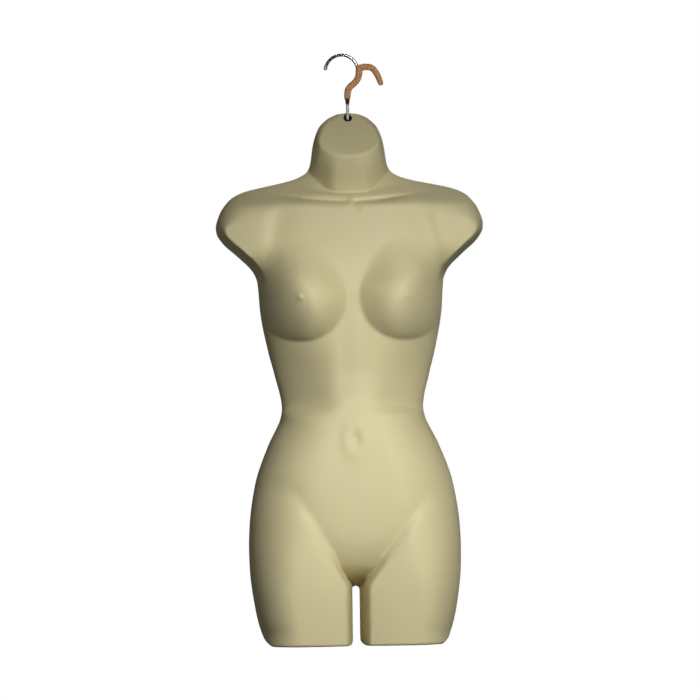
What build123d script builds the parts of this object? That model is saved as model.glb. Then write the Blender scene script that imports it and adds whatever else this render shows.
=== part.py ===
from build123d import *
import os
from math import cos, pi, sin, tan, radians

# Hollow-back hanging torso form with a swivel wire hook. Millimetres.
# While it is modelled, X runs across from the torso's midplane, Y = 0 is the flat open back with the
# chest towards -Y, and Z is the height above the thigh bottoms. At the end everything moves so that
# the origin is the rail seat, where the hook's wire rests on a rail.

wall = 3.0                  # thickness of the moulded skin
past_back = 6.0             # how far the lofts run behind the back plane before it trims them
neck_top = 850.3            # top of the neck
reach = 250.0               # from the middle of the back, this is past the form's sides and front
cap_slope = radians(38.7)   # the neck cap falls forward at this angle

# Trunk from the thigh bottoms to the shoulders: height, half width, depth at the middle, squareness
TRUNK = [
    (0, 134, 113, 3.2), (4, 141.5, 115, 3.2), (13, 148.3, 117, 3.1), (40, 156.6, 120, 3.0),
    (90, 165.6, 123, 2.9), (150, 169.5, 125, 2.8), (205, 166.8, 127, 2.7), (257, 158.4, 130, 2.6),
    (308, 141.2, 127, 2.5), (346, 123, 121, 2.4), (381, 113, 113, 2.4), (423, 121.4, 113, 2.4),
    (474, 134.4, 118, 2.5), (526, 144.4, 120, 2.6), (577, 148.4, 118, 2.8), (596, 154, 116, 3.0),
    (622, 179, 111, 3.6), (645, 203.5, 106, 4.0), (667, 213.8, 101, 3.6), (688, 209, 94, 2.9),
    (705, 200, 84, 2.4), (718, 186.8, 72, 2.2), (726, 168, 64, 2.1), (733, 140, 56, 2.0),
    (740, 108, 47, 2.0), (747, 82, 38, 2.0), (756, 58, 26, 2.0),
]
# Neck: height, half width, depth, squareness
NECK = [
    (690, 60, 74, 2.2), (721, 60.5, 76, 2.2), (748, 62, 80, 2.2), (768, 61.4, 85, 2.2),
    (794, 57.5, 92, 2.2), (814, 52.6, 96, 2.2), (830, 44.4, 99, 2.2), (840, 34, 101, 2.2),
    (847, 21, 103, 2.2), (852, 10, 104, 2.2),
]
shoulder_bottom, shoulder_top = 667, 718    # between these the skin turns from upright to level

# Bust: one mound each side, an ellipsoid set into the trunk
bust_x, bust_height, bust_back = 79, 548, 76
bust_half_width, bust_half_height, bust_depth = 62, 72, 84

# Gap between the thighs: distance from the back plane, half width, height of its arched top
GAP = [(-6, 5.6, 94), (70, 6.4, 95), (95, 11, 101), (115, 24, 114), (135, 48, 140)]
gap_bottom = -10            # the gap's loft starts below the thighs

# Hook stem, eyelet, block and fasteners, all on one vertical axis
stem_y = -12.0
wire_radius = 2.5
eyelet_flange_radius, eyelet_flange_height = 6.35, 1.2
eyelet_barrel_radius, eyelet_bore_radius = 4.9, 3.6
block_half_width, block_front, block_back, block_bottom = 14.0, -27.0, -1.5, 806.0
block_corner_radius, block_bore_radius = 4.0, 2.8
drill_length = 60           # of the cylinders that make the stem's holes
running_gap = 0.3
washer_radius, washer_thickness, washer_bore_radius = 7.5, 1.2, 2.65
nut_across_flats, nut_height, nut_bore_radius = 8.0, 5.0, 2.55
insert_radius, insert_height = 3.5, 1.4
stem_bottom = 795.0

# Wire hook: a half circle that the rail sits in, over a crank that sets it off from the stem
seat_x = -8.6
arc_height = 916.4
arc_radius = 26.0
arc_end_angle = 169
CRANK = [(0, 880), (1, 885), (4.2, 890.8), (9.6, 895.8), (14.4, 901.2), (16.8, 907.6), (17.4, 916.4)]
tip_cap_radius, tip_cap_length = 3.1, 5.0
ferrule_bottom, ferrule_top = 863.5, 872.6
ferrule_radius, ferrule_foot_radius = 3.6, 3.0
collar_radius, collar_height = 4.3, 1.8

# Side hook: its wire lies beside the main wire, then turns over to the right
sleeve_radius, side_sleeve_radius = 4.9, 4.4
moulding_gap = 0.04         # between the sleeve and the wires in it
core_radius = 2.0
sleeve_bottom = 872.6
sleeve_mouth_radius = 4.4
mouth_overlap, mouth_step = 0.6, 0.1    # the tapered mouth runs this far into the sleeve, this much slimmer
UPRIGHT = [(0, 876.5), (0.2, 881), (1.4, 886.5), (4.4, 891.2), (9.8, 896), (15, 901.3), (18, 907.2),
           (19.4, 914), (19.8, 922.5)]
SIDE_HOOK = [(19.8, 922.5), (28.8, 923.9), (36, 923), (42, 919.6), (48, 910.8), (52, 901.5), (53.6, 897)]
CORE = [(12.6, 895.6), (17.4, 900.6), (20.2, 906.8), (21.6, 914), (22.4, 918.6), (25.2, 922.6), (28.8, 923.9),
        (36, 923), (42, 919.6), (48, 910.8), (52, 901.5), (53, 898.8)]

section_steps = 18          # points along the front of one slice, less one
slice_spacing = 16          # between the trunk's slices
shoulder_slice_spacing = 8  # and above the armpits, where the outline turns quickly
armpit_height = 592


def section(height, half_width, depth, squareness):
    """A horizontal slice: a squared half ellipse in front of the back plane, closed behind it."""
    points = []
    for step in range(section_steps + 1):
        across, forward = cos(pi * step / section_steps), sin(pi * step / section_steps)
        reach = (abs(across) ** squareness + abs(forward) ** squareness) ** (-1 / squareness)
        points.append((half_width * reach * across, -depth * reach * forward, height))
    spacing = [step / section_steps for step in range(section_steps + 1)]
    front = Edge.make_spline(points, tangents=[(0, -1, 0), (0, 1, 0)], parameters=spacing)
    right, left = (half_width, 0, height), (-half_width, 0, height)
    back_right, back_left = (half_width, past_back, height), (-half_width, past_back, height)
    return Wire([front, Edge.make_line(left, back_left), Edge.make_line(back_left, back_right),
                 Edge.make_line(back_right, right)])


def slope_at(rows, index):
    """How fast each value of a row changes with height, from the rows on either side."""
    lower, upper = rows[max(index - 1, 0)], rows[min(index + 1, len(rows) - 1)]
    return [(high - low) / (upper[0] - lower[0]) for low, high in zip(lower, upper)]


def row_at(rows, height):
    """The slice at a height, on a smooth curve through the rows."""
    index = max(number for number, row in enumerate(rows[:-1]) if row[0] <= height)
    lower, upper = rows[index], rows[index + 1]
    span = upper[0] - lower[0]
    t = (height - lower[0]) / span
    share = 3 * t**2 - 2 * t**3
    weights = (1 - share, (t**3 - 2 * t**2 + t) * span, share, (t**3 - t**2) * span)
    curves = zip(lower, slope_at(rows, index), upper, slope_at(rows, index + 1))
    values = [sum(weight * value for weight, value in zip(weights, curve)) for curve in curves]
    return (height, *values[1:])


def trunk_rows():
    """The trunk's slices, closer together near the ends than between."""
    lowest = [row for row in TRUNK if row[0] < 2 * slice_spacing]
    heights = [*range(2 * slice_spacing, armpit_height, slice_spacing),
               *range(armpit_height, TRUNK[-1][0] + 1, shoulder_slice_spacing)]
    return lowest + [row_at(TRUNK, height) for height in heights]


def inset(rows):
    """The same rows one wall thickness in: sideways, and down as well where the skin lies level."""
    inner = []
    for height, half_width, depth, squareness in rows:
        level = min(1, max(0, (height - shoulder_bottom) / (shoulder_top - shoulder_bottom)))
        inner.append((height - wall * level, half_width - wall, depth - wall, squareness))
    return inner


def stack(rows):
    """Loft through the slices, in the given order."""
    return Solid.make_loft([section(*row) for row in rows])


def below_cap(offset):
    """A block whose slanted top is the cap plane, lowered by the offset."""
    top_back = neck_top - offset / cos(cap_slope) + past_back * tan(cap_slope)
    top_front = top_back - reach * tan(cap_slope)
    bottom = top_front - reach
    outline = Polyline((past_back, bottom), (past_back, top_back), (past_back - reach, top_front),
                       (past_back - reach, bottom), close=True)
    return extrude(Plane.YZ * make_face(outline), reach, both=True)


def bust(inset_by):
    """The two mounds, trimmed at the back so that they stay inside the trunk."""
    half_sizes = (bust_half_width, bust_depth, bust_half_height)
    ball = scale(Sphere(1), by=tuple(size - inset_by for size in half_sizes))
    return [Pos(side * bust_x, -bust_back, bust_height) * ball for side in (-1, 1)]


def gap(grow):
    """The space between the thighs, flaring to the front, as a loft through arched slices."""
    slices = []
    for distance, half_width, top in GAP:
        half = half_width + grow
        spring = top - half_width
        with BuildLine(Plane.XZ.offset(distance)) as outline:
            Line((-half, gap_bottom), (-half, spring))
            ThreePointArc((-half, spring), (0, top + grow), (half, spring))
            Line((half, spring), (half, gap_bottom))
            Line((half, gap_bottom), (-half, gap_bottom))
        slices.append(outline.wire())
    return Solid.make_loft(slices)


def behind_back():
    """Everything behind the back plane."""
    return Pos(0, reach / 2, neck_top / 2) * Box(2 * reach, reach, 2 * neck_top)


def neck_cavity():
    """The hollow inside the neck, up to the underside of the cap."""
    return stack(inset(NECK)[:-2]) & below_cap(wall)


def stem_cylinder(radius):
    """A cylinder on the stem's axis, through the cap."""
    return Pos(0, stem_y, neck_top) * Cylinder(radius, drill_length)


def torso_shell():
    """The moulded skin: the outer form less the same form one wall in, trimmed flat at the back."""
    outer = Part() + stack(trunk_rows()) + (stack(NECK) & below_cap(0)) + bust(0)
    outer -= gap(0)
    inner_trunk = [(max(row[0], wall), *row[1:]) for row in inset(trunk_rows())]
    inner = Part() + stack(inner_trunk) + neck_cavity() + bust(wall)
    inner -= gap(wall)
    shell = outer - inner - behind_back()
    return shell - stem_cylinder(eyelet_barrel_radius)


def neck_anchor_block():
    """The plug bonded under the cap, bored for the stem."""
    height = neck_top - block_bottom
    middle = block_bottom + height / 2
    block = Box(2 * block_half_width, block_back - block_front, height)
    block = fillet(block.edges().filter_by(Axis.Z), block_corner_radius)
    block = Pos(0, (block_front + block_back) / 2, middle) * block
    bore = Pos(0, stem_y, middle) * Cylinder(block_bore_radius, drill_length)
    return (block & neck_cavity()) - bore


def neck_eyelet():
    """A flange lying on the cap and a barrel through the skin, with an upright bore."""
    flange = (stem_cylinder(eyelet_flange_radius) & below_cap(-eyelet_flange_height)) - below_cap(0)
    barrel = (stem_cylinder(eyelet_barrel_radius) & below_cap(0)) - below_cap(wall)
    return flange + barrel - stem_cylinder(eyelet_bore_radius)


def in_hook_plane(points):
    """Points across and up, placed in the upright plane through the stem."""
    return [(x, stem_y, z) for x, z in points]


def arc_point(angle):
    """A point on the hook's half circle, across and up, from its right end round to its tip."""
    return (seat_x + arc_radius * cos(angle), arc_height + arc_radius * sin(angle))


def hook_wire(radius=wire_radius):
    """One wire: the stem, the crank to the right, and the half circle over the rail."""
    stem = Line(*in_hook_plane([(0, stem_bottom), CRANK[0]]))
    crank = Spline(*in_hook_plane(CRANK), tangents=[(0, 0, 1), (0, 0, 1)])
    arc = ThreePointArc(*in_hook_plane([arc_point(0), arc_point(pi / 2), arc_point(radians(arc_end_angle))]))
    path = Wire([stem.edge(), crank.edge(), arc.edge()])
    circle = Plane((0, stem_y, stem_bottom), z_dir=(0, 0, 1)) * Circle(radius)
    return sweep(circle, path=path)


def wire_tip_cap():
    """A rounded cap pushed over the free end of the main hook."""
    end = radians(arc_end_angle)
    start = end - tip_cap_length / arc_radius
    path = ThreePointArc(*in_hook_plane([arc_point(start), arc_point((start + end) / 2), arc_point(end)]))
    circle = Plane(path @ 0, z_dir=path % 0) * Circle(tip_cap_radius)
    body = sweep(circle, path=path) + Pos(*(path @ 1)) * Sphere(tip_cap_radius)
    return body - hook_wire()


def tube(points, radius):
    """A round bar along a smooth line through points in the hook's plane."""
    path = Spline(*in_hook_plane(points))
    circle = Plane(path @ 0, z_dir=path % 0) * Circle(radius)
    return sweep(circle, path=path)


def side_hook_core():
    """The side hook's own wire, welded beside the main wire."""
    return tube(CORE, core_radius) - hook_wire()


def side_hook_sleeve():
    """The soft moulding over the fork and the side hook, with rounded ends."""
    sleeve = tube(UPRIGHT, sleeve_radius) + tube(SIDE_HOOK, side_sleeve_radius)
    for points, radius in ((UPRIGHT, sleeve_radius), (SIDE_HOOK, side_sleeve_radius)):
        sleeve += Pos(*in_hook_plane(points)[-1]) * Sphere(radius)
    mouth_height = UPRIGHT[0][1] + mouth_overlap - sleeve_bottom
    mouth_middle = sleeve_bottom + mouth_height / 2
    mouth = Cone(sleeve_mouth_radius, sleeve_radius - mouth_step, mouth_height)
    sleeve += Pos(0, stem_y, mouth_middle) * mouth
    return sleeve - hook_wire(wire_radius + moulding_gap) - tube(CORE, core_radius + moulding_gap)


def ring(radius, bore_radius, bottom, height):
    """A plain ring round the stem."""
    solid = Cylinder(radius, height) - Cylinder(bore_radius, height)
    return Pos(0, stem_y, bottom + height / 2) * solid


def stem_ferrule():
    """The dark ferrule crimped on the stem: a collar under the sleeve and a tapered tube below it."""
    tube_height = ferrule_top - collar_height - ferrule_bottom
    taper = Cone(ferrule_foot_radius, ferrule_radius, tube_height)
    taper = Pos(0, stem_y, ferrule_bottom + tube_height / 2) * taper
    collar = ring(collar_radius, wire_radius, ferrule_top - collar_height, collar_height)
    return collar + (taper - stem_cylinder(wire_radius))


def thrust_washer():
    """The washer that the block rests on."""
    return ring(washer_radius, washer_bore_radius, washer_bottom, washer_thickness)


def retaining_nut():
    """A locking nut on the stem's thread, with a pocket for its nylon ring."""
    hexagon = RegularPolygon(nut_across_flats / 2, 6, major_radius=False)
    nut = Pos(0, stem_y, nut_bottom) * extrude(hexagon, nut_height)
    nut -= Pos(0, stem_y, nut_bottom + nut_height / 2) * Cylinder(nut_bore_radius, nut_height)
    return nut - Pos(0, stem_y, nut_bottom + insert_height / 2) * Cylinder(insert_radius, insert_height)


def nut_insert():
    """The nylon ring in the nut's lower face."""
    return ring(insert_radius, wire_radius, nut_bottom, insert_height)


washer_bottom = block_bottom - running_gap - washer_thickness
nut_bottom = washer_bottom - nut_height
rail_seat = Pos(seat_x, stem_y, arc_height + arc_radius - wire_radius)

NODES = [torso_shell, neck_anchor_block, neck_eyelet, hook_wire, side_hook_core, side_hook_sleeve,
         wire_tip_cap, stem_ferrule, thrust_washer, retaining_nut, nut_insert]

os.makedirs("parts", exist_ok=True)
for make in NODES:
    export_step(rail_seat.inverse() * make(), f"parts/{make.__name__}.step")
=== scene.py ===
import math

import bmesh
import bpy
import numpy as np
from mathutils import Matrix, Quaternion, Vector


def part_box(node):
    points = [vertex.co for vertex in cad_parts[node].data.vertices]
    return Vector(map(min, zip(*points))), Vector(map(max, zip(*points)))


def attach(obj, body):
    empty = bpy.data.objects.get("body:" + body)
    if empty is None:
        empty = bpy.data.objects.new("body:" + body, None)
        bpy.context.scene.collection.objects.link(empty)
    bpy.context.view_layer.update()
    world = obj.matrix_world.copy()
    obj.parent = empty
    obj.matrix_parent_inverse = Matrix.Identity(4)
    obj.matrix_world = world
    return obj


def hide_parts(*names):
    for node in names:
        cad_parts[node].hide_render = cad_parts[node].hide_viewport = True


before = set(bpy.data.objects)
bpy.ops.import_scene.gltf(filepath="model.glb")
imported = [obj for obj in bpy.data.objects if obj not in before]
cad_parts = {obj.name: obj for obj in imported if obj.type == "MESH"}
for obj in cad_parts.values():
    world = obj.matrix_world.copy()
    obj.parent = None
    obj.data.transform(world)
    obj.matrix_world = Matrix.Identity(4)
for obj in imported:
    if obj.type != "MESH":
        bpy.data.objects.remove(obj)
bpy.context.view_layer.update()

# --- the torso's form ---

# In millimetres: x across from its midplane, h above the thigh bottoms, and depth forward of the flat
# open back. The two sides mirror each other, but for the groin and the notch between the collar bones.

NECK_TOP = 850.3
CAP_SLOPE = math.radians(38.7)      # the neck cap falls forward at this angle
CAP_LOWEST = 745                    # the cap's flat face lies above this
THIGH_EDGE = 4.5                    # rounding of the thighs' lower edges
GAP_HALF_WIDTH = 5.8                # between the thighs
GAP_SPRING = 88.0                   # where the gap's arched top begins
GAP_CORNER = 12                     # size of the corners at the gap's foot
ARMPIT = 588
CORNER = 14                         # the outline's lower corners are rounded up to this height
WAIST_FOLD = 368                    # where the ribs' side planes begin
RIBS = 385                          # where these are steepest
NAVEL = 330
BREAST_ACROSS, BREAST_HEIGHT, BREAST_RISE = 80.0, 553.0, 43.0
NIPPLE_ACROSS, NIPPLE_HEIGHT = 85.0, 555.0
COLLAR_LINE = 707.5                 # the groove under the collar bones, at the midplane
NECK_HALF_WIDTH = 62.5              # at most

# Side outline, from the thigh's lower corner to the neck's top: height, half width
OUTLINE = [
    (0, 134.5), (2.5, 139.5), (14, 148.8), (58, 160.8), (124, 168.9), (156, 169.6), (193, 168),
    (257, 158.4), (321, 135.8), (346, 123.2), (362, 116), (378, 113), (435, 124.5), (468, 133),
    (532, 145), (580, 148.8), (592, 152.6), (602, 158.8), (622, 179), (645, 203.8), (661, 213),
    (669, 213.8), (690, 208), (713, 192), (721, 180.6), (728, 163), (735, 132), (741, 103), (748, 80),
    (757, 66.4), (768, 61.4), (800, 56.2), (826, 47), (841, 32.4), (846, 23), (849, 13), (NECK_TOP, 0),
]
# How the trunk rolls over to the back: height, width of the roll, how square it is
ROLL = [
    (0, 60, 2.1), (60, 66, 2.1), (124, 82, 2.1), (200, 98, 2.1), (257, 100, 2.1), (321, 93, 2.1),
    (365, 86, 2.1), (388, 104, 2.0), (440, 104, 2.0), (500, 98, 2.0), (540, 86, 2.0), (590, 62, 2.0),
]
# The same round the arm's cut face, the shoulder and the neck
SHOULDER_ROLL = [
    (590, 12, 1.3), (650, 12, 1.3), (664, 15, 1.5), (680, 24, 1.9), (700, 36, 2.0), (725, 44, 2.0),
    (742, 46, 2.0), (757, 26, 2.0), (775, 15, 2.2), (851, 15, 2.2),
]
# Depth at the middle, without the neck: height, depth
MIDDLE = [
    (0, -40), (90, -20), (93.6, 0), (96, 17), (100, 36), (107, 61), (115, 81), (130, 103), (150, 117),
    (172, 125), (200, 128.5), (240, 130.5), (280, 129.5), (320, 126.5), (348, 123), (364, 120.6),
    (380, 116.4), (396, 114), (430, 113.6), (470, 118), (520, 121), (560, 121), (600, 117), (640, 110),
    (670, 103), (690, 97.5), (700, 93), (705, 87), (711, 76), (717, 64), (723, 54), (732, 42), (742, 31),
    (752, 20), (765, 4), (790, -16), (851, -30),
]
# Inner edge of the thighs: up the gap, round its top, then out along the groin, which leans more on the
# right: height, half width on the left, half width on the right
GROIN = [
    (0, 5.8, 5.8), (92, 5.8, 5.8), (96, 6.6, 6.6), (100, 8.4, 8.6), (107, 12.5, 13), (115, 18, 19),
    (130, 27, 31), (150, 38, 46), (200, 62, 80), (260, 92, 117), (310, 130, 155), (851, 400, 400),
]
# Depth of the thighs' fronts and of the neck's: height, depth
THIGH = [
    (0, 101), (50, 114.5), (100, 124.5), (150, 129), (190, 129.5), (240, 125), (280, 115), (330, 88),
    (851, 60),
]
NECK = [(0, 48), (700, 52), (722, 61), (740, 70.5), (765, 84), (790, 92), (851, 100)]
# How far belly and chest fall back 150 mm out from the midplane: height, depth
FLATTEN = [(0, 0), (380, 3), (470, 12), (560, 18), (640, 18), (690, 14), (720, 8), (851, 0)]


def along(points, value, column=1):
    """A smooth curve through (position, value) points that doesn't overshoot them."""
    table = np.array(points, float)
    x, y = table[:, 0], table[:, column]
    run = np.diff(x)
    rise = np.diff(y) / run
    slope = np.zeros(len(x))
    slope[0], slope[-1] = rise[0], rise[-1]
    same_way = rise[:-1] * rise[1:] > 0
    steep = np.where(same_way, rise[:-1] * rise[1:], 0.0)
    total = np.where(same_way, rise[:-1] + rise[1:], 1.0)
    slope[1:-1] = 2 * steep / total
    span = np.clip(np.searchsorted(x, value) - 1, 0, len(x) - 2)
    t = np.clip((value - x[span]) / run[span], 0, 1)
    low, high = y[span], y[span + 1]
    bend = (t**3 - 2 * t**2 + t) * slope[span] + (t**3 - t**2) * slope[span + 1]
    return low + (high - low) * (3 * t**2 - 2 * t**3) + run[span] * bend


def ease(t):
    """0 below 0, 1 above 1, smooth between."""
    t = np.clip(t, 0, 1)
    return t * t * (3 - 2 * t)


def bump(distance, width):
    """A rounded bump: 1 at no distance, fading over the width."""
    return np.exp(-0.5 * (distance / width) ** 2)


def join(a, b, blend):
    """The larger of two surfaces, with their meeting line filled over the blend."""
    t = np.clip(0.5 + 0.5 * (a - b) / blend, 0, 1)
    return b + (a - b) * t + blend * t * (1 - t)


def trim(a, b, blend):
    """The smaller of two surfaces, with their meeting line rounded over the blend."""
    return -join(-a, -b, blend)


def gap_edge():
    """Inner outline of one thigh: rounded lower corner, straight side, arched top to the midplane."""
    corner = [(GAP_HALF_WIDTH + GAP_CORNER * (1 - math.sin(a)) ** 1.6, GAP_CORNER * (1 - math.cos(a)))
              for a in np.linspace(0, math.pi / 2, 7)]
    side = [(GAP_HALF_WIDTH, h) for h in np.linspace(20, GAP_SPRING, 6)]
    arch = [(GAP_HALF_WIDTH * math.cos(a), GAP_SPRING + GAP_HALF_WIDTH * math.sin(a))
            for a in np.linspace(0.2, math.pi / 2, 8)]
    return np.array(corner + side + arch)


def side_edge():
    """Outer outline, in small steps: half width and height."""
    heights = np.array([row[0] for row in OUTLINE], float)
    steps = np.concatenate([np.linspace(a, b, 12, endpoint=False) for a, b in zip(heights, heights[1:])])
    steps = np.append(steps, NECK_TOP)
    return np.stack([along(OUTLINE, steps), steps], axis=1)


def distance_to(edge, x, h):
    """Distance from points to a line of short straight pieces, and the height of the nearest point."""
    start, run = edge[:-1], np.diff(edge, axis=0)
    length = (run ** 2).sum(axis=1)
    nearest = np.full(x.shape, 1e9)
    height = np.zeros(x.shape)
    for (px, ph), (dx, dh), size in zip(start, run, length):
        t = np.clip(((x - px) * dx + (h - ph) * dh) / size, 0, 1)
        away = np.hypot(x - px - t * dx, h - ph - t * dh)
        closer = away < nearest
        nearest = np.where(closer, away, nearest)
        height = np.where(closer, ph + t * dh, height)
    return nearest, height


def roll_over(distance, width, square):
    """1 well inside the outline, falling to 0 at it as a rounded edge."""
    inside = 1 - np.clip(distance / width, 0, 1)
    return (1 - inside ** square) ** (1 / square)


def breast(u, v):
    """Height of one breast over the chest: u across from its middle, outward, and v up."""
    across = u / np.where(u < 0, 70.0, 78.0)
    upward = ease(v / 60.0)
    lower = np.clip(np.hypot(across, v / 67.0), 0, 1)
    upper = np.clip(np.hypot(across, v / 98.0), 0, 1)
    full = BREAST_RISE * (1 - lower ** 2) ** (0.72 + 0.35 * ease(-u / 60.0))
    slope = BREAST_RISE * (1 - upper ** 2) ** (0.9 + 1.1 * upward)
    return full + (slope - full) * ease((v + 12) / 40.0)


def belly_and_thighs(x, h, to_edge):
    """Depth of the belly and chest, and of the nearly flat thighs that meet the belly at the groin."""
    across = np.abs(x)
    front = along(MIDDLE, h) - along(FLATTEN, h) * (across / 150.0) ** 2
    groin = np.where(x < 0, along(GROIN, h, 1), along(GROIN, h, 2))
    sag = (5.0 + 3.0 * (1 - ease((h - 130) / 100))) * (1 - ease((h - 230) / 70))
    front = front - sag * np.clip(across / (groin + 6.0), 0, 1.4) ** 3

    thigh_middle = 84 + 0.06 * h
    thigh = along(THIGH, h) - 12.0 * (np.abs(across - thigh_middle) / 80.0) ** 2.4
    into_groin = np.maximum(across - groin, 0)
    edge_roll = roll_over(into_groin, 15.0, 2.0)
    soft_roll = 0.90 + 0.10 * roll_over(into_groin, 30.0, 2.0)
    mound = ease((h - 92) / 60)
    thigh = thigh * (edge_roll + (soft_roll - edge_roll) * mound)
    thigh = thigh - 1.2 * np.maximum(groin - across, 0)
    return join(front, thigh, 5.0 * ease((to_edge - 1) / 14.0) + 0.01)


def with_ribs_and_navel(body, x, h):
    """The ribs' side planes, falling back above the waist's fold, and the navel in its soft oval rise."""
    across = np.abs(x)
    ribs = ease((h - WAIST_FOLD) / 14) * (1 - ease((h - RIBS) / 150))
    body = body - 0.5 * ribs * 7.0 * np.logaddexp(0, (across - 32.0) / 7.0)
    midline = ease((h - RIBS) / 30) * (1 - ease((h - 520) / 40))
    body = body - 0.9 * midline * bump(across - 17, 7)
    ring = np.hypot(x, (h - NAVEL) / 1.5)
    body = body + 2.2 * bump(ring - 15, 6.5)
    return body - 3.0 * bump(np.hypot(x / 2.8, (h - NAVEL - 2) / 6.0), 1.0)


def with_bust_and_shoulders(body, across, h):
    """The breasts, the fronts of the shoulders, and the fold between these and the chest."""
    body = body + breast(across - BREAST_ACROSS, h - BREAST_HEIGHT)
    body = body + 5.0 * bump(np.hypot(across - NIPPLE_ACROSS, h - NIPPLE_HEIGHT), 2.5)
    fold = 133 - 0.25 * (h - 619)
    shoulder = ease((h - 585) / 30) * (1 - ease((h - 680) / 30))
    fold_width = np.where(across < fold, 17.0, 9.0)
    body = body - 6.0 * shoulder * bump(across - fold, fold_width)
    return body + 2.0 * shoulder * bump(across - fold - 36, 22)


def with_collar_bones(body, x, h):
    """A groove under each collar bone, and between them a notch that opens on the right."""
    across = np.abs(x)
    line = COLLAR_LINE + 0.0010 * across ** 2
    bone = ease((across - 3) / 7) * (1 - ease((across - 70) / 60))
    body = body - 7.0 * bump(h - line, 2.7) * bone
    body = body + 2.6 * bump(h - line + 10, 5.0) * bone
    body = body + 6.5 * bump(h - line - 9.5, 4.6) * (1 - ease((across - 40) / 50))
    notch = ease((h - 682) / 12) * (1 - ease((h - 705) / 8))
    return body - 4.4 * bump(x - 8.0, 3.2) * notch


def neck_front(across, h, half_width):
    """Depth of the neck: a flat front between two side faces, turning round towards the cap."""
    depth = along(NECK, h)
    facets = depth - 1.7 * 4.0 * np.logaddexp(0, (across - 29.0) / 4.0) - 0.0012 * across ** 2
    oval = depth * np.sqrt(1 - np.clip(across / 66.0, 0, 0.99) ** 2)
    neck = facets + (oval - facets) * ease((h - 745) / 45)
    neck = np.where(across < half_width, neck * roll_over(half_width - across, 13.0, 2.2), 0)
    return neck * ease((h - 694) / 12)


def torso_depth(x, h):
    """Depth of the torso's outer face forward of the back plane."""
    across = np.abs(x)
    edge = side_edge()
    trunk = edge[(edge[:, 1] > CORNER) & (edge[:, 1] < ARMPIT)]
    trunk = np.vstack([(trunk[0, 0] - 6, -40), trunk])
    to_trunk, trunk_height = distance_to(trunk, across, h)
    to_shoulder, shoulder_height = distance_to(edge[edge[:, 1] >= ARMPIT - 4], across, h)
    to_edge = np.minimum(distance_to(edge, across, h)[0], distance_to(gap_edge(), across, h)[0])

    body = belly_and_thighs(x, h, to_edge)
    body = with_ribs_and_navel(body, x, h)
    body = with_bust_and_shoulders(body, across, h)
    body = with_collar_bones(body, x, h)

    # The sides roll over to the back, and the neck stands on the shoulders
    body = body * roll_over(to_trunk, along(ROLL, trunk_height, 1), along(ROLL, trunk_height, 2))
    neck_half = np.minimum(np.interp(h, edge[:, 1], edge[:, 0]), NECK_HALF_WIDTH)
    neck = neck_front(across, h, neck_half)
    body = body * roll_over(to_shoulder, along(SHOULDER_ROLL, shoulder_height, 1),
                            along(SHOULDER_ROLL, shoulder_height, 2))
    body = join(np.maximum(body, 0), neck, 5.0 * ease(to_edge / 8.0) + 0.01)

    # The cap: a slanted flat face with a rounded rim
    cap = (NECK_TOP - h) / math.tan(CAP_SLOPE)
    cap = cap * roll_over(to_edge, 9.0, 2.2)
    body = np.where(h > CAP_LOWEST, trim(body, cap, 5.0), body)

    # Lower edges of the thighs
    rounded = roll_over(np.minimum(to_edge, h), THIGH_EDGE, 4.0)
    body = body * (1 + (rounded - 1) * (1 - ease((h - 40) / 30)))
    return np.maximum(body, 0)


# --- places in the frame, in metres ---

STEM_LOW, STEM_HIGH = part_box("stem_ferrule")
STEM = (STEM_LOW + STEM_HIGH) / 2                   # a point on the upright stem's axis
SHELL_LOW, SHELL_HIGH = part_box("torso_shell")
FORM_ORIGIN = Vector((STEM.x, SHELL_HIGH.y, SHELL_LOW.z))   # midplane, back plane, thigh bottoms
MM = 0.001
SKIN = 2.8 * MM
EYELET_HOLE = 5.1 * MM              # its radius
HALF_COLUMNS = 64                   # of faces, from the midplane to the outline
SLANT_FROM = 640                    # above this height the mesh's rows slant down to the middle


# --- mesh helpers ---

def add_mesh(name, mesh, smooth=True):
    """A new object from a bmesh."""
    data = bpy.data.meshes.new(name)
    mesh.to_mesh(data)
    mesh.free()
    data.polygons.foreach_set("use_smooth", [smooth] * len(data.polygons))
    piece = bpy.data.objects.new(name, data)
    bpy.context.scene.collection.objects.link(piece)
    return piece


def settle(piece):
    """Make a piece's modifiers part of its mesh."""
    bpy.context.view_layer.update()
    evaluated = piece.evaluated_get(bpy.context.evaluated_depsgraph_get())
    data = bpy.data.meshes.new_from_object(evaluated)
    piece.modifiers.clear()
    piece.data = data


def drill(piece, at, radius, height):
    """Cut an upright round hole through a piece."""
    mesh = bmesh.new()
    bmesh.ops.create_cone(mesh, cap_ends=True, segments=48, radius1=radius, radius2=radius, depth=height)
    bmesh.ops.translate(mesh, verts=mesh.verts, vec=at)
    cutter = add_mesh("drill", mesh)
    hole = piece.modifiers.new("hole", "BOOLEAN")
    hole.object = cutter
    hole.solver = "EXACT"
    settle(piece)
    bpy.data.objects.remove(cutter)


# --- torso ---

# Heights at which the slanting rows meet the outline and the midplane, chosen so that they cross the
# shoulders and the neck's top at a good angle
ROW_MIDDLE = [
    (640, 640), (669, 668), (690, 686), (703, 694), (713, 700), (721, 706), (728, 711), (735, 718),
    (741, 724), (748, 732), (757, 742), (768, 753), (782, 766), (800, 782), (814, 795), (826, 807),
    (834, 816), (841, 825), (846, 834), (849, 843), (850.3, 850.3),
]


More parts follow.
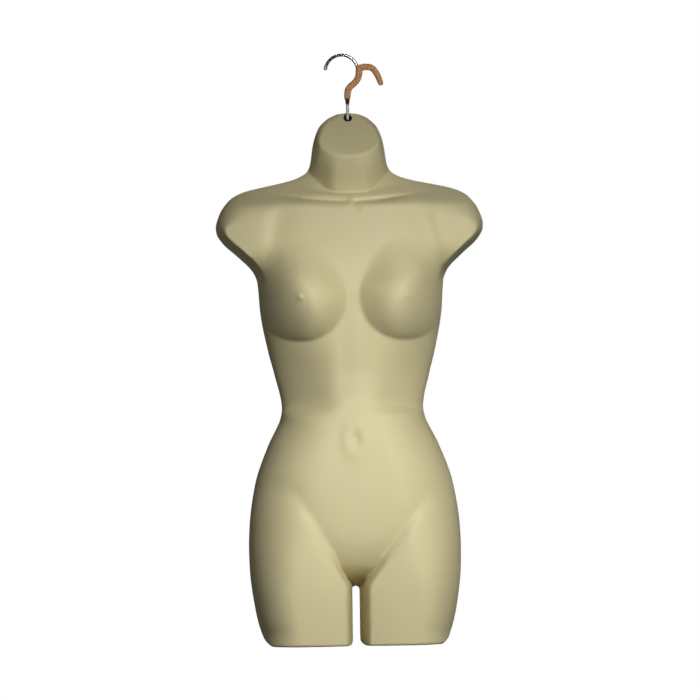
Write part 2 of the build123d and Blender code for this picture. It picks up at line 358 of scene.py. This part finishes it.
def row_heights():
    """Heights at which the rows meet the outline: even steps along it, closer where the form turns."""
    rounding = [0, 0.35, 0.6, 0.76, 0.87, 0.94, 0.975, 0.992]
    heights = [THIGH_EDGE * (1 - (1 - share ** 4) ** 0.25) for share in rounding]
    gap_top = GAP_SPRING + GAP_HALF_WIDTH
    spans = [(THIGH_EDGE, CORNER, 5), (CORNER, 84, 18), (84, gap_top, 8), (gap_top, 130, 22),
             (130, 480, 90), (480, SLANT_FROM, 54)]
    for low, high, count in spans:
        heights += list(np.linspace(low, high, count, endpoint=False))
    edge = side_edge()
    edge = edge[edge[:, 1] >= SLANT_FROM]
    travelled = np.insert(np.cumsum(np.hypot(*np.diff(edge, axis=0).T)), 0, 0)
    heights += list(np.interp(np.linspace(0, travelled[-1], 108), travelled, edge[:, 1]))
    return np.array(heights)


def half_grid(side):
    """x, h and depth of one half's vertices, from the midplane or the gap out to the outline."""
    ends = row_heights()[:, None]
    edge = side_edge()
    out = np.interp(ends, edge[:, 1], edge[:, 0])
    inner = gap_edge()
    into = np.where(ends < inner[-1, 1], np.interp(ends, inner[:, 1], inner[:, 0]), 0)
    t = np.linspace(0, 1, HALF_COLUMNS + 1)[None, :]
    both_ends = (1 - np.cos(math.pi * t)) / 2
    one_end = np.sin(math.pi / 2 * t)
    share = one_end + (both_ends - one_end) * (1 - ease((ends - 94) / 60))
    x = into + (out - into) * share
    middle = np.where(ends < SLANT_FROM, ends, along(ROW_MIDDLE, ends))
    h = middle + (ends - middle) * share
    depth = torso_depth(side * x, h)
    depth[:, -1] = 0
    depth[0, :] = 0
    depth[(ends < inner[-1, 1] + 0.01)[:, 0], 0] = 0
    return side * x, h, depth


def torso_skin():
    """The moulded skin: its outer face as a grid of quads, with a modifier that thickens it inward."""
    mesh = bmesh.new()
    for side in (-1, 1):
        x, h, depth = half_grid(side)
        points = np.stack([x, -depth, h], axis=-1) * MM
        rows = [[mesh.verts.new(FORM_ORIGIN + Vector(point)) for point in row] for row in points]
        for low, high in zip(rows, rows[1:]):
            for a, b, c, d in zip(low, low[1:], high[1:], high):
                mesh.faces.new((a, b, c, d) if side > 0 else (d, c, b, a))
    bmesh.ops.remove_doubles(mesh, verts=mesh.verts, dist=0.004 * MM)
    skin = add_mesh("torso_skin", mesh)
    thicken = skin.modifiers.new("thickness", "SOLIDIFY")
    thicken.thickness = SKIN
    thicken.offset = -1
    return skin


# --- hook ---

def hook_point(across, up):
    """A point in the hook's plane, from the stem's axis and the thigh bottoms, in millimetres."""
    return Vector((STEM.x + across * MM, STEM.y, SHELL_LOW.z + up * MM))


def smooth_line(points, steps=10):
    """A curve through the given points, with equal steps between each two."""
    table = np.array([tuple(point) for point in points])
    table = np.vstack([2 * table[0] - table[1], table, 2 * table[-1] - table[-2]])
    line = []
    for a, b, c, d in zip(table, table[1:], table[2:], table[3:]):
        for t in np.linspace(0, 1, steps, endpoint=False):
            line.append(0.5 * (2 * b + (c - a) * t + (2 * a - 5 * b + 4 * c - d) * t**2
                               + (3 * b - a - 3 * c + d) * t**3))
    line.append(table[-2])
    return [Vector(point) for point in line]


def tube(mesh, line, radii, segments=28):
    """A round bar along a line in the hook's plane, with a radius at each point and closed ends."""
    normal = Vector((0, 1, 0))
    rings = []
    for index, (point, radius) in enumerate(zip(line, radii)):
        before, after = line[max(index - 1, 0)], line[min(index + 1, len(line) - 1)]
        side = (after - before).normalized().cross(normal)
        ring = []
        for step in range(segments):
            angle = 2 * math.pi * step / segments
            spoke = math.cos(angle) * side + math.sin(angle) * normal
            ring.append(mesh.verts.new(point + float(radius) * MM * spoke))
        rings.append(ring)
    for low, high in zip(rings, rings[1:]):
        for step in range(segments):
            following = (step + 1) % segments
            mesh.faces.new((low[step], low[following], high[following], high[step]))
    mesh.faces.new(rings[0][::-1])
    mesh.faces.new(rings[-1])


# The sleeve's middle line up the stem and over the side hook: across, up, radius
UPRIGHT = [
    (0, 872.7, 4.6), (0, 874.2, 5.0), (0.1, 877, 5.3), (0.4, 881.5, 5.4), (1.5, 886.5, 5.4),
    (4.4, 891.2, 5.3), (9.8, 896, 5.3), (15, 901.3, 5.3), (18, 907.2, 5.4), (19.4, 914, 5.6),
    (19.6, 921.2, 5.6),
]
SIDE_HOOK = [
    (19.4, 920.8, 5.6), (24, 922.2, 5.6), (29, 922.9, 5.4), (36, 922.4, 5.2), (42, 919.4, 5.1),
    (48, 910.8, 5.0), (52, 901.5, 4.7), (53.6, 897, 4.3),
]


def sleeve():
    """The soft moulding: the stem's sleeve and the side hook's, melted into one at the fork."""
    mesh = bmesh.new()
    for rows in (UPRIGHT, SIDE_HOOK):
        line = smooth_line([hook_point(*row[:2]) for row in rows])
        share = np.linspace(0, 1, len(line))
        tube(mesh, line, np.interp(share, np.linspace(0, 1, len(rows)), [row[2] for row in rows]))
        across, up, radius = rows[-1]
        ball = bmesh.ops.create_uvsphere(mesh, u_segments=28, v_segments=18, radius=radius * MM)
        bmesh.ops.translate(mesh, verts=ball["verts"], vec=hook_point(across, up))
    piece = add_mesh("sleeve_moulding", mesh)
    melt = piece.modifiers.new("melt", "REMESH")
    melt.mode = "VOXEL"
    melt.voxel_size = 0.42 * MM
    soften = piece.modifiers.new("soften", "SMOOTH")
    soften.factor = 0.5
    soften.iterations = 12
    settle(piece)
    piece.data.polygons.foreach_set("use_smooth", [True] * len(piece.data.polygons))
    return piece


# --- materials ---

def shader_of(made):
    """The sockets of a material's principled shader."""
    return made.node_tree.nodes["Principled BSDF"].inputs


def material(name, colour, roughness, metallic=0.0):
    """A new plain material."""
    made = bpy.data.materials.new(name)
    made.use_nodes = True
    sockets = shader_of(made)
    sockets["Base Color"].default_value = (*colour, 1)
    sockets["Roughness"].default_value = roughness
    sockets["Metallic"].default_value = metallic
    return made


def noise(nodes, links, place, scale, detail=3.0, roughness=0.5):
    """A noise texture in the object's own space."""
    texture = nodes.new("ShaderNodeTexNoise")
    texture.inputs["Scale"].default_value = scale
    texture.inputs["Detail"].default_value = detail
    texture.inputs["Roughness"].default_value = roughness
    links.new(place, texture.inputs["Vector"])
    return texture.outputs["Fac"]


def spread(nodes, links, value, low, high):
    """Map a 0 to 1 value onto a range."""
    mapping = nodes.new("ShaderNodeMapRange")
    mapping.inputs["From Min"].default_value = 0.3
    mapping.inputs["From Max"].default_value = 0.7
    mapping.inputs["To Min"].default_value = low
    mapping.inputs["To Max"].default_value = high
    links.new(value, mapping.inputs["Value"])
    return mapping.outputs["Result"]


def shade(nodes, links, value, colours):
    """Colours picked by a 0 to 1 value."""
    ramp = nodes.new("ShaderNodeValToRGB")
    ramp.color_ramp.elements[0].position = 0.3
    ramp.color_ramp.elements[1].position = 0.7
    for element, colour in zip(ramp.color_ramp.elements, colours):
        element.color = (*colour, 1)
    links.new(value, ramp.inputs["Fac"])
    return ramp.outputs["Color"]


def relief(nodes, links, value, depth):
    """A bump of a 0 to 1 value, its depth in metres."""
    grain = nodes.new("ShaderNodeBump")
    grain.inputs["Strength"].default_value = 0.5
    grain.inputs["Distance"].default_value = depth
    links.new(value, grain.inputs["Height"])
    return grain.outputs["Normal"]


def tinted(colour, factor):
    """A colour made lighter or darker."""
    return tuple(min(1.0, channel * factor) for channel in colour)


def surface(name, colour, roughness, metallic, patch, grain, variation, bump_depth, spread_by=0.06):
    """A material whose colour and roughness drift in patches and whose surface has a fine grain."""
    made = material(name, colour, roughness, metallic)
    sockets = shader_of(made)
    nodes, links = made.node_tree.nodes, made.node_tree.links
    place = nodes.new("ShaderNodeTexCoord").outputs["Object"]
    patches = noise(nodes, links, place, patch)
    fine = noise(nodes, links, place, grain, 2.0)
    tones = tinted(colour, 1 - variation), tinted(colour, 1 + variation)
    links.new(shade(nodes, links, patches, tones), sockets["Base Color"])
    links.new(spread(nodes, links, patches, roughness - spread_by, roughness + spread_by),
              sockets["Roughness"])
    links.new(relief(nodes, links, fine, bump_depth), sockets["Normal"])
    return made


def finish(piece, made):
    """Give a piece one material."""
    piece.data.materials.clear()
    piece.data.materials.append(made)


# --- studio ---

CAMERA_TURN, CAMERA_ROLL = -2.0, -1.0       # degrees
CAMERA_DISTANCE = 10.0
VIEW_WIDTH = 1.120                          # metres across the picture, at the form
VIEW_CENTRE = FORM_ORIGIN + Vector((-0.0024, 0, 0.471))
SURROUND_RADIUS = 16.0
FLOOR_RADIUS, FLOOR_DROP = 3.2, 0.62        # the floor lies this far below the thighs


def backdrop(centre):
    """A pale floor well below the hanging form, and a white surround: seen, but lighting nothing."""
    mesh = bmesh.new()
    bmesh.ops.create_circle(mesh, cap_ends=True, segments=96, radius=FLOOR_RADIUS)
    bmesh.ops.translate(mesh, verts=mesh.verts, vec=(centre.x, centre.y, SHELL_LOW.z - FLOOR_DROP))
    floor = add_mesh("floor", mesh, smooth=False)
    paper = surface("floor_paper", (0.5, 0.5, 0.5), 0.8, 0, 1.5, 300, 0.01, 0.0001)
    mesh = bmesh.new()
    bmesh.ops.create_icosphere(mesh, subdivisions=4, radius=SURROUND_RADIUS)
    bmesh.ops.translate(mesh, verts=mesh.verts, vec=centre)
    surround = add_mesh("surround", mesh)
    white = material("surround_white", (0, 0, 0), 1.0)
    shader_of(white)["Specular IOR Level"].default_value = 0
    for piece, made, glow in ((floor, paper, 0.72), (surround, white, 1.0)):
        shader_of(made)["Emission Color"].default_value = (1, 1, 1, 1)
        shader_of(made)["Emission Strength"].default_value = glow
        finish(piece, made)
        for rays in ("visible_diffuse", "visible_glossy", "visible_shadow", "visible_transmission"):
            setattr(piece, rays, False)


def lamp(name, place, aim, size, power, beam):
    """A soft square light, its beam held to an angle in degrees as by a grid."""
    data = bpy.data.lights.new(name, "AREA")
    data.shape = "SQUARE"
    data.size = size
    data.energy = power
    data.spread = math.radians(beam)
    light = bpy.data.objects.new(name, data)
    bpy.context.scene.collection.objects.link(light)
    light.location = place
    light.rotation_euler = (aim - place).to_track_quat("-Z", "Y").to_euler()


def camera(centre, distance, width):
    """A long lens at the form's front, a little to its left and rolled by a degree."""
    data = bpy.data.cameras.new("camera")
    data.angle = 2 * math.atan(width / 2 / distance)
    data.clip_end = 60
    made = bpy.data.objects.new("camera", data)
    bpy.context.scene.collection.objects.link(made)
    turn = math.radians(CAMERA_TURN)
    made.location = centre + distance * Vector((math.sin(turn), -math.cos(turn), 0))
    look = (centre - made.location).to_track_quat("-Z", "Y")
    made.rotation_euler = (look @ Quaternion((0, 0, 1), math.radians(CAMERA_ROLL))).to_euler()
    bpy.context.scene.camera = made



# --- the scene ---

torso = torso_skin()
drill(torso, Vector((STEM.x, STEM.y, SHELL_HIGH.z)), EYELET_HOLE, 60 * MM)
# Thickening pushes the rim a little behind the open back's plane
for vertex in torso.data.vertices:
    vertex.co.y = min(vertex.co.y, FORM_ORIGIN.y)
torso.data.polygons.foreach_set("use_smooth", [True] * len(torso.data.polygons))
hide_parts("torso_shell")
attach(torso, "torso")
plastic = surface("khaki_plastic", (0.645, 0.575, 0.325), 0.55, 0, 9, 1500, 0.025, 0.00006)
shader_of(plastic)["Specular IOR Level"].default_value = 0.35
finish(torso, plastic)

moulding = sleeve()
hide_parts("side_hook_sleeve")
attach(moulding, "hook")
vinyl = surface("flesh_vinyl", (0.68, 0.345, 0.15), 0.74, 0, 60, 260, 0.05, 0.00002)
shader_of(vinyl)["Specular IOR Level"].default_value = 0.25
shader_of(vinyl)["Subsurface Weight"].default_value = 0.15
shader_of(vinyl)["Subsurface Radius"].default_value = (0.004, 0.0015, 0.0008)
finish(moulding, vinyl)

chrome = surface("chrome", (0.46, 0.465, 0.45), 0.19, 1, 60, 200, 0.06, 0.0000005, 0.04)
# Dark steel for the stem's ferrule and the neck's eyelet. Its near-black is partly painted shade: the
# shadow inside the sleeve's open lower end and round the hole in the neck cap.
dark_steel_and_shade = surface("dark_steel_painted_shade", (0.05, 0.04, 0.03), 0.38, 0.8, 160, 3000, 0.25, 0.00003)
zinc = surface("zinc_steel", (0.52, 0.52, 0.49), 0.36, 1, 200, 2500, 0.08, 0.00003)
drawn = surface("drawn_steel", (0.45, 0.45, 0.44), 0.35, 1, 200, 2500, 0.08, 0.00003)
pale = surface("pale_vinyl", (0.42, 0.42, 0.40), 0.38, 0, 150, 2500, 0.06, 0.00004)
block_plastic = surface("block_plastic", (0.47, 0.42, 0.25), 0.6, 0, 40, 1200, 0.06, 0.0001)
nylon = surface("nylon", (0.20, 0.26, 0.48), 0.45, 0, 200, 2500, 0.06, 0.00003)
for node, made in {
    "hook_wire": chrome, "side_hook_core": drawn, "wire_tip_cap": pale, "stem_ferrule": dark_steel_and_shade,
    "neck_eyelet": dark_steel_and_shade, "thrust_washer": zinc, "retaining_nut": zinc, "nut_insert": nylon,
    "neck_anchor_block": block_plastic,
}.items():
    finish(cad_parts[node], made)

backdrop(VIEW_CENTRE)
# Name, place and aim from the view's centre, size in metres, power in watts, beam in degrees
for name, place, aim, size, power, beam in (
    ("key", (1.0, -4.2, 1.2), (0, 0, -0.32), 0.9, 4.9, 27.5),
    ("fill_left", (-2.6, -2.8, 0.5), (0, 0, 0), 1.2, 11, 180),
    ("fill_right", (2.8, -2.6, 0.5), (0, 0, 0), 1.2, 12, 180),
    ("back_high", (0, 3.8, 1.3), (0, 0, 0), 0.5, 60, 180),
    ("back_low", (0, 3.8, -0.7), (0, 0, 0), 0.5, 24, 180),
):
    lamp(name, VIEW_CENTRE + Vector(place), VIEW_CENTRE + Vector(aim), size, power, beam)
world = bpy.data.worlds.new("studio")
bpy.context.scene.world = world
world.use_nodes = True
world.node_tree.nodes["Background"].inputs["Color"].default_value = (1, 1, 1, 1)
world.node_tree.nodes["Background"].inputs["Strength"].default_value = 0.05
bpy.context.scene.view_settings.view_transform = "Standard"
camera(VIEW_CENTRE, CAMERA_DISTANCE, VIEW_WIDTH)
